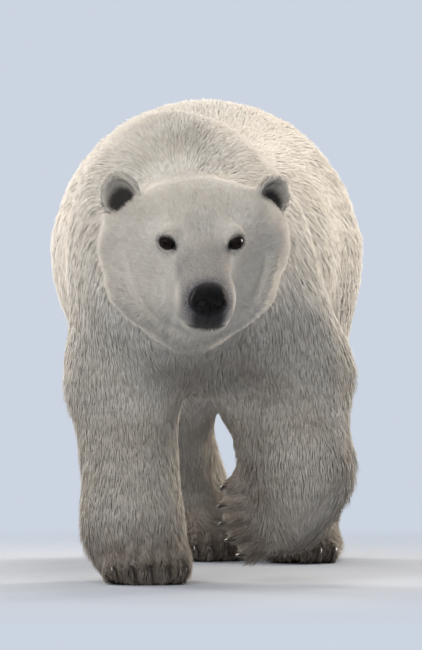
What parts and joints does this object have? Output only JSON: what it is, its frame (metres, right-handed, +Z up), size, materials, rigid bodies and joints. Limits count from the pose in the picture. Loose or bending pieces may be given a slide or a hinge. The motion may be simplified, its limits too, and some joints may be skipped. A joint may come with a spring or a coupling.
{
  "type": "polar bear",
  "caption": "Life-size still model of a walking polar bear, head low and turned a little to its left, one forepaw lifted in mid stride.",
  "frame": {"origin": "on the ground, under the middle of the bounding box", "axes": "+Z up; the bear faces -Y; +X is its left side"},
  "size_m": [0.7678, 1.9402, 1.1313],
  "materials": {
    "coat": "dense cream-white fur with a soft sheen",
    "leg_coat": "shorter cream fur, soiled grey-brown towards the feet",
    "nose_skin": "black, finely pebbled and moist",
    "eye": "very dark brown, wet gloss",
    "claw": "black-brown horn, semi-gloss"
  },
  "bodies": {
    "root": {"fore_right_upper": "coat", "fore_right_lower": "leg_coat", "fore_right_claw_1": "claw", "fore_right_claw_2": "claw", "fore_right_claw_3": "claw", "fore_right_claw_4": "claw", "fore_right_claw_5": "claw", "fore_right_paw": "leg_coat", "fore_left_upper": "coat", "fore_left_lower": "leg_coat", "fore_left_claw_1": "claw", "fore_left_claw_2": "claw", "fore_left_claw_3": "claw", "fore_left_claw_4": "claw", "fore_left_claw_5": "claw", "fore_left_paw": "leg_coat", "hind_right_upper": "coat", "hind_right_lower": "leg_coat", "hind_right_claw_1": "claw", "hind_right_claw_2": "claw", "hind_right_claw_3": "claw", "hind_right_claw_4": "claw", "hind_right_claw_5": "claw", "hind_right_paw": "leg_coat", "hind_left_upper": "coat", "hind_left_lower": "leg_coat", "hind_left_claw_1": "claw", "hind_left_claw_2": "claw", "hind_left_claw_3": "claw", "hind_left_claw_4": "claw", "hind_left_claw_5": "claw", "hind_left_paw": "leg_coat", "tail": "coat", "trunk": "coat", "neck": "coat", "eye_left": "eye", "eye_right": "eye", "ear_right": "coat", "ear_left": "coat", "nose": "nose_skin", "jaw": "coat", "head": "coat"}
  },
  "joints": []
}
